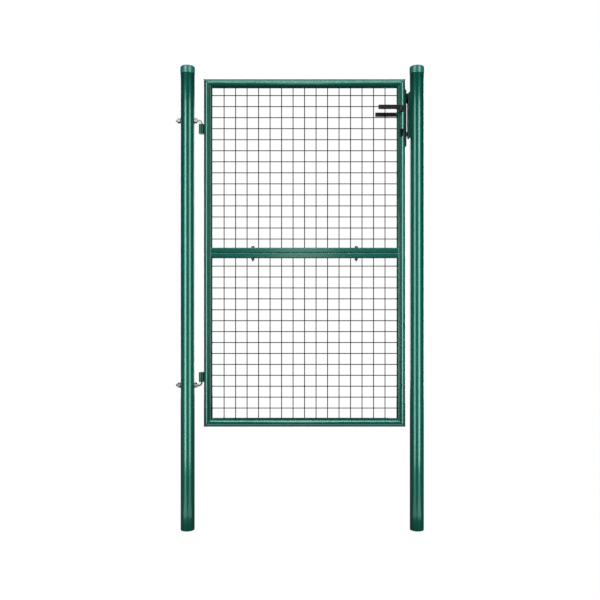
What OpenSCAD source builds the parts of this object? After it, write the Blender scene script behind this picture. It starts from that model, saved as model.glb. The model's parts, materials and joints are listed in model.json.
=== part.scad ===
// Garden gate: a steel mesh leaf in two bolted halves, hung on L-bolts between two round posts.
// Millimetres. The origin is the centre of the hinge post's foot, +X runs towards the latch post,
// +Y is the side the leaf opens to, and +Z is up.

/* [Posts] */
// Outer diameter of both posts
post_d = 60; // [45:1:80]
// Wall of the post tubes
post_wall = 2; // [1.5:0.5:4]
// Height from the post feet to the top of the caps
gate_h = 2000; // [1900:10:2400]
// Outer diameter of the caps' skirt is the post plus this
cap_extra = 2.6; // [1.6:0.2:6]
// Height of a cap
cap_h = 33; // [20:1:50]
// Thickness of a cap's top
cap_top_t = 3; // [2:0.5:5]
// Radius of the shoulder round a cap's top
cap_shoulder_r = 5; // [2:0.5:8]

/* [Leaf] */
// Width of the leaf over its stiles
leaf_w = 870; // [700:5:1200]
// Height of the leaf over its rails
leaf_h = 1500; // [1200:5:1800]
// Height of the leaf's bottom above the post feet
leaf_z = 444; // [50:1:450]
// Gap from the hinge post's side to the leaf
hinge_gap = 40; // [36:1:60]
// Gap from the leaf to the latch post's side
latch_gap = 20; // [18:0.5:30]
// Outer diameter of the round frame tube
frame_d = 38; // [36:0.5:48]
// Wall of the frame tube
frame_wall = 1.5; // [1:0.1:2]
// Height of each rectangular mid rail
mid_rail_h = 22; // [16:1:40]
// Depth of each mid rail, front to back
mid_rail_depth = 30; // [26:1:34]
// Wall of the mid rails
mid_rail_wall = 1.5; // [1:0.1:3]
// Corner radius of the mid rails
mid_rail_r = 3; // [2:0.5:5]

/* [Mesh] */
// Diameter of the mesh wires
wire_d = 3.9; // [2.5:0.1:6]
// Number of upright wires across the leaf
upright_count = 15; // [6:1:24]
// Number of cross wires in each half
crosswire_count = 14; // [6:1:20]
// Spacing of the cross wires in the upper half
upper_wire_pitch = 47.7; // [30:0.1:50]
// Distance from the top rail down to the first cross wire
upper_wire_drop = 31.3; // [10:0.1:60]
// Spacing of the cross wires in the lower half
lower_wire_pitch = 47.2; // [30:0.1:50]
// Distance from the lower mid rail down to the first cross wire
lower_wire_drop = 34.2; // [10:0.1:60]

/* [Hinges] */
// Diameter of the L-shaped hinge bolts
hinge_bolt_d = 12; // [10:1:16]
// Radius of the bend in a hinge bolt, at its centre line
hinge_bend_r = 13.5; // [12:0.5:20]
// Length of bolt standing out of the far side of the post
hinge_bolt_tail = 20; // [16:1:60]
// Outer diameter of the sleeves on the leaf
sleeve_d = 22; // [20:1:26]
// Height of a sleeve
sleeve_h = 43; // [25:1:80]
// Distance of each sleeve's middle from the middle of the leaf
sleeve_offset = 535; // [350:5:560]
// Gap between a sleeve and the start of the bolt's bend
sleeve_end_gap = 0.4; // [0.2:0.1:2]
// Distance of the bolt's end inside the sleeve's far end
hinge_pin_short = 3; // [1:0.5:10]
// Width across flats of the hinge nuts
hinge_nut_af = 19; // [18:1:24]
// Height of a hinge nut
hinge_nut_h = 10; // [6:0.5:13]
// Outer diameter of a hinge washer
hinge_washer_d = 24; // [22:1:32]
// Thickness of a hinge washer
hinge_washer_t = 2.5; // [1.5:0.1:4]

/* [Joining bolts] */
// Diameter of the bolts that join the two halves
join_bolt_d = 8; // [6:1:10]
// Distance of each joining bolt from the middle of the leaf
join_bolt_offset = 223; // [100:1:330]
// Width across flats of the joining bolt's head and nut
join_af = 13; // [11:1:17]
// Height of the joining bolt's head
join_head_h = 5.3; // [4:0.1:7]
// Height of the joining nut
join_nut_h = 6.5; // [4:0.1:8]
// Length of thread standing out of the joining nut
join_tail = 6; // [2:0.5:15]
// Outer diameter of a joining washer
join_washer_d = 17; // [15:0.5:22]
// Thickness of a joining washer
join_washer_t = 1.6; // [1:0.1:2.5]

/* [Lock] */
// Height of the lever spindle above the leaf's bottom
spindle_rise = 1364; // [950:1:1390]
// Side of the square spindle
spindle_w = 8; // [7:0.5:9]
// Distance from the spindle down to the lock cylinder
cylinder_drop = 92; // [80:1:100]
// Length of the forend
forend_h = 249; // [230:1:280]
// Height of the forend's top above the spindle
forend_rise = 90; // [84:1:100]
// Width of the forend
forend_w = 24; // [20:1:26]
// Thickness of the forend plate
forend_t = 3; // [2:0.5:4]
// Thickness of packing between the tube's crest and the forend plate
packer_crest = 0.5; // [0.3:0.1:3]
// Slope at both ends of the forend
forend_slope = 5; // [2:0.5:8]
// Distance of the forend screws from the forend's ends
forend_screw_inset = 10.5; // [8:0.5:12]
// Diameter of the forend and cylinder screws
lock_screw_d = 5; // [4:0.5:6]
// Thickness of the lock case over its plates
case_t = 15; // [14:0.5:18]
// Wall of the lock case
case_wall = 1.5; // [1:0.1:2]
// Least gap from the case's back corners to the inside of the tube
case_back_gap = 0.3; // [0.2:0.05:0.8]
// Height of the case's top above the spindle
case_rise = 68; // [60:1:74]
// Distance from the spindle down to the case's bottom
case_drop = 130; // [125:1:140]

/* [Bolts of the lock] */
// Height of the latch bolt
latch_h = 22; // [16:1:30]
// Gap between each side of the bolts and the case's plates
bolt_side_gap = 0.5; // [0.3:0.1:2]
// Height of the latch bolt's middle above the spindle
latch_rise = 42; // [36:1:50]
// Distance that the latch bolt stands out of the forend
latch_throw = 12; // [9:0.5:13]
// Turn of the lever that draws the latch right back
lever_turn = 40; // [30:1:50]
// Height of the dead bolt
dead_h = 22; // [16:1:26]
// Distance from the spindle down to the dead bolt's middle
dead_drop = 52; // [50:1:54]
// Length of the dead bolt behind the forend's face
dead_len = 30; // [24:0.5:31]

/* [Levers] */
// Length of a lever from the spindle to its tip
lever_len = 104; // [90:1:130]
// Height of a lever's bar
lever_h = 18; // [14:0.5:22]
// Thickness of a lever's bar
lever_t = 11; // [8:0.5:14]
// Corner radius of a lever's tip
lever_tip_r = 3; // [1:0.5:6]
// Distance from the middle of the leaf to the middle of a lever's bar
lever_stand = 63; // [50:1:75]
// Diameter of a lever's neck
neck_d = 16; // [15:0.5:18]
// Diameter of the collars that the necks turn in
collar_d = 23; // [21:0.5:28]
// Height of a collar above the tube's crest
collar_h = 5; // [3:0.5:10]

/* [Lock cylinder] */
// Diameter of the cylinder's round part
cylinder_d = 17; // [16:0.5:18]
// Width of the cylinder's lower part
cylinder_leg_w = 10; // [9:0.5:11]
// Height of the cylinder's profile
cylinder_h = 33; // [30:0.5:34]
// Length of the cylinder, front to back
cylinder_len = 60; // [54:1:90]
// Diameter of the plug that the key turns
plug_d = 13; // [12:0.1:14]
// Width of the gap for the cam in the middle of the cylinder
cam_gap = 10; // [9:0.5:11]
// Reach of the cam from the plug's axis
cam_reach = 13.4; // [12:0.1:13.5]

/* [Keeper] */
// Height of the keeper on the latch post
keeper_h = 197; // [180:1:220]
// Height of the keeper's top above the spindle
keeper_rise = 78; // [76:1:90]
// Width of the keeper, front to back
keeper_w = 40; // [34:1:46]
// Thickness of the keeper's sheet
keeper_t = 2.5; // [1.5:0.5:3]
// Gap from the forend to the keeper
keeper_gap = 7; // [4:0.5:8]
// Radius of the keeper's corners
keeper_r = 8; // [5:0.5:12]
// Height of the upper and lower pads on the keeper
pad_h = 18; // [10:0.5:24]
// Gap from the forend to the pads
pad_gap = 1.5; // [1:0.1:3]
// Room all round a bolt in its window
window_room = 2; // [1:0.5:4]

/* [Clearances] */
// Radial clearance of a turning pin in its bore
run_gap = 0.05; // [0.02:0.01:0.1]
// Gap between pieces that are fitted together
fit_gap = 0.1; // [0.05:0.05:0.3]
// Gap left for the weld between two welded pieces
weld_gap = 0.1; // [0.05:0.05:0.3]
// Gap between the two halves of the leaf
halves_gap = 0.6; // [0.2:0.1:2]

/* [Hidden] */
$fn = 96;
green = [0.09, 0.38, 0.31];
black = [0.09, 0.1, 0.1];
zinc = [0.66, 0.68, 0.7];
steel = [0.5, 0.52, 0.55];
nickel = [0.72, 0.72, 0.7];

far = 400;                          // longer than anything it cuts
post_r = post_d / 2;
post_h = gate_h - cap_top_t;
leaf_x0 = post_r + hinge_gap;
leaf_x1 = leaf_x0 + leaf_w;
leaf_mid_x = (leaf_x0 + leaf_x1) / 2;
leaf_top = leaf_z + leaf_h;
split_z = leaf_z + leaf_h / 2;
post_spacing = leaf_x1 + latch_gap + post_r;
frame_r = frame_d / 2;
hinge_stile_x = leaf_x0 + frame_r;
latch_stile_x = leaf_x1 - frame_r;

upper_start_z = split_z + halves_gap / 2;
lower_start_z = split_z - halves_gap / 2;

wire_layer_y = (wire_d + weld_gap) / 2;
open_x0 = leaf_x0 + frame_d;
open_x1 = leaf_x1 - frame_d;
upright_pitch = (open_x1 - open_x0) / (upright_count + 1);

sleeve_r = sleeve_d / 2;
hinge_x = leaf_x0 - weld_gap - sleeve_r;
upper_sleeve_z = split_z + sleeve_offset;
lower_sleeve_z = split_z - sleeve_offset;
hinge_arm = sleeve_h / 2 + sleeve_end_gap + hinge_bend_r;
upper_bolt_z = upper_sleeve_z + hinge_arm;
lower_bolt_z = lower_sleeve_z - hinge_arm;

spindle_x = latch_stile_x;
spindle_z = leaf_z + spindle_rise;
cylinder_z = spindle_z - cylinder_drop;
forend_back_x = leaf_x1 + packer_crest;
forend_x = forend_back_x + forend_t;
forend_z1 = spindle_z + forend_rise;
forend_z0 = forend_z1 - forend_h;
tube_chord = sqrt(pow(frame_r - frame_wall, 2) - pow(case_t / 2, 2));
case_back = floor(10 * (tube_chord - case_back_gap)) / 10;      // to a tenth of a millimetre
case_x0 = spindle_x - case_back;
case_z0 = spindle_z - case_drop;
case_z1 = spindle_z + case_rise;
case_room = case_t - 2 * case_wall;
bolt_t = case_room - 2 * bolt_side_gap;
latch_z = spindle_z + latch_rise;
dead_z = spindle_z - dead_drop;
keeper_x = forend_x + keeper_gap;
keeper_z1 = spindle_z + keeper_rise;
keeper_z0 = keeper_z1 - keeper_h;

arm_lean = lever_turn / 2;          // the follower's arm swings this far each side of upright
arm_r = latch_throw / (2 * sin(arm_lean));
arm_nose_r = 2.6;
arm_w = 3.6;
arm_t = 6;                          // follower's arms, front to back
arm_nose_x = spindle_x + arm_r * sin(arm_lean);
arm_nose_z = arm_r * cos(arm_lean);
latch_prong = 3;                    // each prong of the latch bolt's tail, along X
latch_tail_t = 8;                   // the tail, front to back
latch_back_x = arm_nose_x + latch_prong;
talon_len = 9;                      // block under the dead bolt that the cam pushes
talon_t = 6;
screw_foot = 4.7;                   // the cylinder's screw above the bottom of its profile
spring_seat = 0.9;                  // from the follower's nose to the lever spring
hub_r = 11;                         // follower's flange inside the case
hub_neck_r = 8;                     // follower's bearing in the case's plates
spring_wire_d = 1;
spring_coil_r = 3;

// ---- shared shapes ----

module along_x(x0, x1, z, d) {
    translate([x0, 0, z]) rotate([0, 90, 0]) cylinder(d = d, h = x1 - x0);
}

module along_y(x, y0, y1, z, d) {
    translate([x, y1, z]) rotate([90, 0, 0]) cylinder(d = d, h = y1 - y0);
}

// A flat outline in X and Z, given a thickness from y0 to y1
module slab_xz(y0, y1) {
    translate([0, y1, 0]) rotate([90, 0, 0]) linear_extrude(y1 - y0) children();
}

// A square with rounded corners, from circles and bars only
module round_rect(w, h, r) {
    square([w - 2 * r, h], center = true);
    square([w, h - 2 * r], center = true);
    for (sx = [-1, 1], sy = [-1, 1]) translate([sx * (w / 2 - r), sy * (h / 2 - r)]) circle(r);
}

module tube_z(x, z0, z1, d, wall) {
    translate([x, 0, z0]) difference() {
        cylinder(d = d, h = z1 - z0);
        translate([0, 0, -1]) cylinder(d = d - 2 * wall, h = z1 - z0 + 2);
    }
}

module hex_x(x0, h, z, af, hole_d) {
    translate([x0, 0, z]) rotate([0, 90, 0]) difference() {
        cylinder(d = af / cos(30), h = h, $fn = 6);
        translate([0, 0, -1]) cylinder(d = hole_d, h = h + 2);
    }
}

module hex_z(x, z0, h, af, hole_d) {
    translate([x, 0, z0]) difference() {
        cylinder(d = af / cos(30), h = h, $fn = 6);
        translate([0, 0, -1]) cylinder(d = hole_d, h = h + 2);
    }
}

// The profile of the lock cylinder: a circle with a straight leg below it
module cylinder_profile(room) {
    leg_r = cylinder_leg_w / 2 + room;
    foot = cylinder_h - cylinder_d / 2 - cylinder_leg_w / 2;
    circle(cylinder_d / 2 + room);
    translate([-leg_r, -foot]) square([2 * leg_r, foot]);
    translate([0, -foot]) circle(leg_r);
}

// A closed-end helix of round wire along +X, from x = 0 to x = length
module coil_spring(length, turns) {
    steps = 14;
    rings = turns * steps;
    sides = 8;
    wire_r = spring_wire_d / 2;
    travel = length - spring_wire_d;
    points = [for (i = [0 : rings], k = [0 : sides - 1])
        let (turn = 360 * i / steps, side = 360 * k / sides, reach = spring_coil_r + wire_r * cos(side))
        [wire_r + travel * i / rings + wire_r * sin(side), reach * cos(turn), reach * sin(turn)]];
    walls = [for (i = [0 : rings - 1], k = [0 : sides - 1])
        let (a = i * sides + k, b = i * sides + (k + 1) % sides)
        [a, a + sides, b + sides, b]];
    caps = [[for (k = [0 : sides - 1]) k], [for (k = [sides - 1 : -1 : 0]) rings * sides + k]];
    polyhedron(points, concat(walls, caps), convexity = 10);
}

// ---- posts ----

module post(x) {
    tube_z(x, 0, post_h, post_d, post_wall);
}

module hinge_post() {
    color(green) difference() {
        post(0);
        for (z = [upper_bolt_z, lower_bolt_z]) along_x(-post_d, post_d, z, hinge_bolt_d + 0.6);
    }
}

module latch_post() {
    color(green) post(post_spacing);
}

module post_cap(x) {
    skirt_r = (post_d + cap_extra) / 2;
    translate([x, 0, gate_h - cap_h]) rotate_extrude() difference() {
        union() {
            square([skirt_r, cap_h - cap_shoulder_r]);
            square([skirt_r - cap_shoulder_r, cap_h]);
            translate([skirt_r - cap_shoulder_r, cap_h - cap_shoulder_r]) intersection() {
                circle(cap_shoulder_r);
                square(cap_shoulder_r);
            }
        }
        translate([0, -1]) square([post_r + fit_gap, cap_h - cap_top_t + 1]);
    }
}

module hinge_post_cap() {
    color(green) post_cap(0);
}

module latch_post_cap() {
    color(green) post_cap(post_spacing);
}

// ---- hinge hardware on the post ----

// An L-bolt: a bar through the post, a quarter bend, and a leg that points down into a sleeve
module hinge_bolt() {
    leg = sleeve_h + sleeve_end_gap - hinge_pin_short;
    along_x(-post_r - hinge_bolt_tail, hinge_x - hinge_bend_r, 0, hinge_bolt_d);
    translate([hinge_x - hinge_bend_r, 0, -hinge_bend_r]) rotate([90, 0, 0])
        rotate_extrude(angle = 90) translate([hinge_bend_r, 0]) circle(d = hinge_bolt_d);
    translate([hinge_x, 0, -hinge_bend_r - leg]) cylinder(d = hinge_bolt_d, h = leg);
}

module upper_hinge_bolt() {
    color(zinc) translate([0, 0, upper_bolt_z]) hinge_bolt();
}

module lower_hinge_bolt() {
    color(zinc) translate([0, 0, lower_bolt_z]) mirror([0, 0, 1]) hinge_bolt();
}

module hinge_washers() {
    color(zinc) for (z = [upper_bolt_z, lower_bolt_z], x = [-post_r - hinge_washer_t, post_r])
        translate([x, 0, z]) rotate([0, 90, 0]) difference() {
            cylinder(d = hinge_washer_d, h = hinge_washer_t);
            translate([0, 0, -1]) cylinder(d = hinge_bolt_d + 2 * fit_gap, h = hinge_washer_t + 2);
        }
}

module hinge_nuts() {
    nut_start = post_r + hinge_washer_t;
    color(zinc) for (z = [upper_bolt_z, lower_bolt_z], x = [-nut_start - hinge_nut_h, nut_start])
        hex_x(x, hinge_nut_h, z, hinge_nut_af, hinge_bolt_d + 2 * run_gap);
}

// ---- keeper on the latch post ----

// The keeper's outline seen from the front, drawn in by inset, open towards the post
module keeper_outline(inset) {
    r = keeper_r - inset;
    height = keeper_h - 2 * inset;
    translate([keeper_x + inset, keeper_z0 + inset]) {
        translate([r, 0]) square([post_r, height]);
        translate([0, r]) square([r + 1, height - 2 * r]);
        for (z = [r, height - r]) translate([r, z]) circle(r);
    }
}

module keeper() {
    half_w = keeper_w / 2;
    inner_w = half_w - keeper_t;
    room = bolt_t / 2 + window_room;
    color(green) difference() {
        slab_xz(-half_w, half_w) keeper_outline(0);
        slab_xz(-inner_w, inner_w) keeper_outline(keeper_t);
        for (bolt = [[latch_z, latch_h], [dead_z, dead_h]])
            translate([keeper_x - 1, -room, bolt[0] - bolt[1] / 2 - window_room])
                cube([keeper_t + 2, 2 * room, bolt[1] + 2 * window_room]);
        translate([post_spacing, 0, keeper_z0 - 1]) cylinder(r = post_r + weld_gap, h = keeper_h + 2);
    }
}

module keeper_pads() {
    pad_t = keeper_gap - pad_gap;
    pad_w = forend_w;
    color(black) for (z = [keeper_z0 + keeper_r, keeper_z1 - keeper_r + pad_t / 2 - pad_h])
        translate([keeper_x - pad_t, -pad_w / 2, z]) cube([pad_t, pad_w, pad_h]);
}

// ---- frame of the leaf ----

// Wedge that mitres a corner. sx and sz point from the corner into the leaf.
module mitre_wedge(x, z, sx, sz, for_stile) {
    reach = 2 * frame_d;
    g = weld_gap / 2;
    stile_cut = [[-reach, g - reach], [reach, g + reach], [reach, -reach]];
    rail_cut = [[-reach, -g - reach], [reach, reach - g], [-reach, reach]];
    slab_xz(-frame_d, frame_d) translate([x, z])
        polygon([for (p = for_stile ? stile_cut : rail_cut) [sx * p[0], sz * p[1]]]);
}

module upper_hinge_stile() {
    color(green) difference() {
        tube_z(hinge_stile_x, upper_start_z, leaf_top, frame_d, frame_wall);
        mitre_wedge(leaf_x0, leaf_top, 1, -1, true);
    }
}

module upper_latch_stile() {
    slot_w = case_t + 1;
    color(green) difference() {
        tube_z(latch_stile_x, upper_start_z, leaf_top, frame_d, frame_wall);
        mitre_wedge(leaf_x1, leaf_top, -1, -1, true);
        translate([spindle_x, -slot_w / 2, case_z0 - 1]) cube([frame_d, slot_w, case_z1 - case_z0 + 2]);
        along_y(spindle_x, -far, far, spindle_z, neck_d + 2);
        translate([spindle_x, 0, cylinder_z]) slab_xz(-far, far) cylinder_profile(0.5);
        for (z = [forend_z0 + forend_screw_inset, forend_z1 - forend_screw_inset])
            along_x(spindle_x, leaf_x1 + frame_d, z, lock_screw_d + 2 * fit_gap);
    }
}

module lower_hinge_stile() {
    color(green) difference() {
        tube_z(hinge_stile_x, leaf_z, lower_start_z, frame_d, frame_wall);
        mitre_wedge(leaf_x0, leaf_z, 1, 1, true);
    }
}

module lower_latch_stile() {
    color(green) difference() {
        tube_z(latch_stile_x, leaf_z, lower_start_z, frame_d, frame_wall);
        mitre_wedge(leaf_x1, leaf_z, -1, 1, true);
    }
}

module round_rail(z_mid, z_corner, sz) {
    difference() {
        along_x(leaf_x0, leaf_x1, z_mid, frame_d);
        along_x(leaf_x0 - 1, leaf_x1 + 1, z_mid, frame_d - 2 * frame_wall);
        mitre_wedge(leaf_x0, z_corner, 1, sz, false);
        mitre_wedge(leaf_x1, z_corner, -1, sz, false);
    }
}

module top_rail() {
    color(green) round_rail(leaf_top - frame_r, leaf_top, -1);
}

module bottom_rail() {
    color(green) round_rail(leaf_z + frame_r, leaf_z, 1);
}

module mid_rail(z0) {
    translate([0, 0, z0 + mid_rail_h / 2]) difference() {
        translate([hinge_stile_x, 0, 0]) rotate([0, 90, 0]) linear_extrude(latch_stile_x - hinge_stile_x)
            difference() {
                round_rect(mid_rail_h, mid_rail_depth, mid_rail_r);
                round_rect(mid_rail_h - 2 * mid_rail_wall, mid_rail_depth - 2 * mid_rail_wall,
                           mid_rail_r - mid_rail_wall + 0.2);
            }
        for (x = [hinge_stile_x, latch_stile_x]) translate([x, 0, -mid_rail_h])
            cylinder(r = frame_r + weld_gap, h = 2 * mid_rail_h);
        for (sx = [-1, 1]) translate([leaf_mid_x + sx * join_bolt_offset, 0, -mid_rail_h])
            cylinder(d = join_bolt_d + 4 * fit_gap, h = 2 * mid_rail_h);
    }
}

module upper_mid_rail() {
    color(green) mid_rail(upper_start_z);
}

module lower_mid_rail() {
    color(green) mid_rail(lower_start_z - mid_rail_h);
}

// ---- hinge sleeves on the leaf ----

module hinge_sleeve(z_mid) {
    tube_z(hinge_x, z_mid - sleeve_h / 2, z_mid + sleeve_h / 2, sleeve_d,
           (sleeve_d - hinge_bolt_d) / 2 - run_gap);
}

module upper_hinge_sleeve() {
    color(green) hinge_sleeve(upper_sleeve_z);
}

module lower_hinge_sleeve() {
    color(green) hinge_sleeve(lower_sleeve_z);
}

// ---- mesh ----

module uprights(z0, z1) {
    for (i = [1 : upright_count])
        translate([open_x0 + i * upright_pitch, -wire_layer_y, z0 + weld_gap])
            cylinder(d = wire_d, h = z1 - z0 - 2 * weld_gap, $fn = 32);
}

module crosswires(z_first, pitch) {
    for (i = [0 : crosswire_count - 1])
        translate([open_x0 + weld_gap, wire_layer_y, z_first - i * pitch]) rotate([0, 90, 0])
            cylinder(d = wire_d, h = open_x1 - open_x0 - 2 * weld_gap, $fn = 32);
}

module upper_mesh_uprights() {
    color(green) uprights(upper_start_z + mid_rail_h, leaf_top - frame_d);
}

module upper_mesh_crosswires() {
    color(green) crosswires(leaf_top - frame_d - upper_wire_drop, upper_wire_pitch);
}

module lower_mesh_uprights() {
    color(green) uprights(leaf_z + frame_d, lower_start_z - mid_rail_h);
}

module lower_mesh_crosswires() {
    color(green) crosswires(lower_start_z - mid_rail_h - lower_wire_drop, lower_wire_pitch);
}

// ---- bolts that join the two halves ----

module at_joining_bolts() {
    for (sx = [-1, 1]) translate([leaf_mid_x + sx * join_bolt_offset, 0, 0]) children();
}

module joining_bolts() {
    under_head = upper_start_z + mid_rail_h + join_washer_t;
    end_z = lower_start_z - mid_rail_h - join_washer_t - join_nut_h - join_tail;
    color(zinc) at_joining_bolts() {
        translate([0, 0, end_z]) cylinder(d = join_bolt_d, h = under_head - end_z + 1);
        translate([0, 0, under_head]) cylinder(d = join_af / cos(30), h = join_head_h, $fn = 6);
    }
}

module joining_washers() {
    color(zinc) at_joining_bolts()
        for (z = [upper_start_z + mid_rail_h, lower_start_z - mid_rail_h - join_washer_t])
            translate([0, 0, z]) difference() {
                cylinder(d = join_washer_d, h = join_washer_t);
                translate([0, 0, -1]) cylinder(d = join_bolt_d + 4 * fit_gap, h = join_washer_t + 2);
            }
}

module joining_nuts() {
    color(zinc) at_joining_bolts()
        hex_z(0, lower_start_z - mid_rail_h - join_washer_t - join_nut_h, join_nut_h, join_af,
              join_bolt_d + 2 * run_gap);
}

// ---- lock: case, forend and cylinder ----

// Holes in both plates of the case, for the follower and the cylinder
module case_holes() {
    along_y(spindle_x, -far, far, spindle_z, 2 * (hub_neck_r + run_gap));
    translate([spindle_x, 0, cylinder_z]) slab_xz(-far, far) cylinder_profile(0.3);
}

module lock_case() {
    depth = forend_back_x - case_x0;
    height = case_z1 - case_z0;
    color(steel) difference() {
        translate([case_x0, -case_t / 2, case_z0]) cube([depth, case_t - case_wall, height]);
        translate([case_x0 + case_wall, -case_room / 2, case_z0 + case_wall])
            cube([depth, case_t, height - 2 * case_wall]);
        case_holes();
        along_x(spindle_x, far + leaf_x1, cylinder_z - cylinder_h / 2 - 3, lock_screw_d + 1);
    }
}

module lock_cover() {
    color(steel) difference() {
        translate([case_x0, case_t / 2 - case_wall, case_z0])
            cube([forend_back_x - case_x0, case_wall, case_z1 - case_z0]);
        case_holes();
    }
}

// Depth of the cylinder's fixing screw below the plug's axis
cylinder_screw_z = cylinder_z - (cylinder_h - cylinder_d / 2 - screw_foot);

module screw_holes_x(room) {
    for (z = [forend_z0 + forend_screw_inset, forend_z1 - forend_screw_inset, cylinder_screw_z])
        along_x(spindle_x, forend_x + 1, z, lock_screw_d + 2 * room);
}

// A countersunk head of a screw along X, its flat face at the forend's outer face
module countersunk_head(z, room) {
    translate([forend_x - lock_screw_d / 2 - room, 0, z]) rotate([0, 90, 0])
        cylinder(d1 = lock_screw_d, d2 = 2 * lock_screw_d + 2 * room, h = lock_screw_d / 2 + room);
}

// The windows that the latch and the dead bolt slide through
module bolt_windows(x0, x1) {
    for (bolt = [[latch_z, latch_h], [dead_z, dead_h]])
        translate([x0, -bolt_t / 2 - 0.3, bolt[0] - bolt[1] / 2 - 0.3])
            cube([x1 - x0, bolt_t + 0.6, bolt[1] + 0.6]);
}

// The forend's side outline with both outer corners sloped
module forend_outline(x0, x1) {
    polygon([[x0, forend_z0], [forend_x - forend_slope, forend_z0], [forend_x, forend_z0 + forend_slope],
             [forend_x, forend_z1 - forend_slope], [forend_x - forend_slope, forend_z1], [x0, forend_z1]]);
}

module forend_plate() {
    color(black) difference() {
        intersection() {
            slab_xz(-forend_w / 2, forend_w / 2) forend_outline(spindle_x, forend_x);
            translate([forend_back_x, -forend_w, forend_z0]) cube([forend_t, 2 * forend_w, forend_h]);
        }
        screw_holes_x(fit_gap);
        for (z = [forend_z0 + forend_screw_inset, forend_z1 - forend_screw_inset, cylinder_screw_z])
            countersunk_head(z, fit_gap);
        bolt_windows(spindle_x, forend_x + 1);
    }
}

module forend_packer() {
    color(black) difference() {
        intersection() {
            slab_xz(-forend_w / 2, forend_w / 2) forend_outline(spindle_x, forend_x);
            translate([spindle_x, -forend_w, forend_z0])
                cube([forend_back_x - fit_gap - spindle_x, 2 * forend_w, forend_h]);
        }
        translate([latch_stile_x, 0, forend_z0 - 1]) cylinder(r = frame_r + fit_gap, h = forend_h + 2);
        translate([spindle_x, -case_t / 2 - fit_gap, case_z0 - fit_gap])
            cube([frame_d, case_t + 2 * fit_gap, case_z1 - case_z0 + 2 * fit_gap]);
        screw_holes_x(fit_gap);
    }
}

// A countersunk screw along X, with a cross recess in its head
module lock_screw(z, length) {
    difference() {
        union() {
            along_x(forend_x - length, forend_x - 0.5, z, lock_screw_d);
            countersunk_head(z, 0);
        }
        for (turn = [0, 90]) translate([forend_x, 0, z]) rotate([turn, 0, 0])
            cube([2.4, 4.2, 0.9], center = true);
    }
}

module forend_screws() {
    color(zinc) for (z = [forend_z0 + forend_screw_inset, forend_z1 - forend_screw_inset]) lock_screw(z, 14);
}

module cylinder_screw() {
    color(zinc) lock_screw(cylinder_screw_z, forend_x - spindle_x + 3);
}

module cylinder_body() {
    color(nickel) difference() {
        translate([spindle_x, 0, cylinder_z])
            slab_xz(-cylinder_len / 2, cylinder_len / 2) cylinder_profile(0);
        along_y(spindle_x, -far, far, cylinder_z, plug_d + 2 * run_gap);
        along_y(spindle_x, -cam_gap / 2, cam_gap / 2, cylinder_z, 2 * (cam_reach + 0.4));
        along_x(spindle_x - 5, spindle_x + far, cylinder_screw_z, lock_screw_d + 2 * run_gap);
    }
}

// ---- collars that the lever necks turn in ----

module collar(side) {
    outer_y = frame_r + collar_h;
    color(black) difference() {
        along_y(spindle_x, side > 0 ? frame_r / 2 : -outer_y, side > 0 ? outer_y : -frame_r / 2,
                spindle_z, collar_d);
        along_y(spindle_x, -far, far, spindle_z, neck_d + 2 * run_gap);
        translate([latch_stile_x, 0, spindle_z - collar_d])
            cylinder(r = frame_r + fit_gap, h = 2 * collar_d);
        if (side > 0) translate([0, -far, 0]) cube([far, far, far]);
    }
}

module front_collar() {
    collar(-1);
}

module rear_collar() {
    collar(1);
}

// ---- parts that turn with the levers ----

module follower_arm(turn) {
    rotate([0, turn, 0]) {
        translate([-arm_w / 2, -arm_t / 2, 0]) cube([arm_w, arm_t, arm_r]);
        along_y(0, -arm_t / 2, arm_t / 2, arm_r, 2 * arm_nose_r);
    }
}

module follower() {
    hole = spindle_w + 2 * fit_gap;
    color(steel) translate([spindle_x, 0, spindle_z]) difference() {
        union() {
            along_y(0, -case_t / 2, case_t / 2, 0, 2 * hub_neck_r);
            along_y(0, -case_room / 2 + 0.3, case_room / 2 - 0.3, 0, 2 * hub_r);
            follower_arm(arm_lean);
            follower_arm(arm_lean + 180);
        }
        cube([hole, far, hole], center = true);
    }
}

spindle_end_y = lever_stand - lever_t / 2 - 2;

module spindle() {
    color(steel) translate([spindle_x, 0, spindle_z])
        cube([spindle_w, 2 * spindle_end_y, spindle_w], center = true);
}

// A lever on the -Y side: a round neck and a flat bar that runs back towards the hinges
module lever() {
    bar_y1 = -lever_stand + lever_t / 2;
    socket = spindle_w + 2 * fit_gap;
    socket_y = spindle_end_y + fit_gap;
    end_r = lever_h / 2;
    difference() {
        union() {
            along_y(0, bar_y1 - 1, -frame_r - 0.5, 0, neck_d);
            slab_xz(bar_y1 - lever_t, bar_y1) {
                circle(end_r);
                translate([lever_tip_r - lever_len, -end_r]) square([lever_len - lever_tip_r, lever_h]);
                translate([-lever_len, lever_tip_r - end_r])
                    square([2 * lever_tip_r, lever_h - 2 * lever_tip_r]);
                for (sz = [-1, 1]) translate([lever_tip_r - lever_len, sz * (end_r - lever_tip_r)])
                    circle(lever_tip_r);
            }
        }
        translate([-socket / 2, -socket_y, -socket / 2]) cube([socket, far, socket]);
        translate([0, -lever_stand / 2 - 3, -neck_d]) cylinder(d = lock_screw_d + 2 * run_gap, h = neck_d);
    }
}

module front_lever() {
    color(black) translate([spindle_x, 0, spindle_z]) lever();
}

module rear_lever() {
    color(black) translate([spindle_x, 0, spindle_z]) mirror([0, 1, 0]) lever();
}

module lever_screws() {
    color(steel) for (side = [-1, 1])
        translate([spindle_x, side * (lever_stand / 2 + 3), spindle_z - neck_d / 2 + 0.4])
            cylinder(d = lock_screw_d, h = (neck_d - spindle_w) / 2 - 0.5);
}

// ---- bolts of the lock ----

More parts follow.
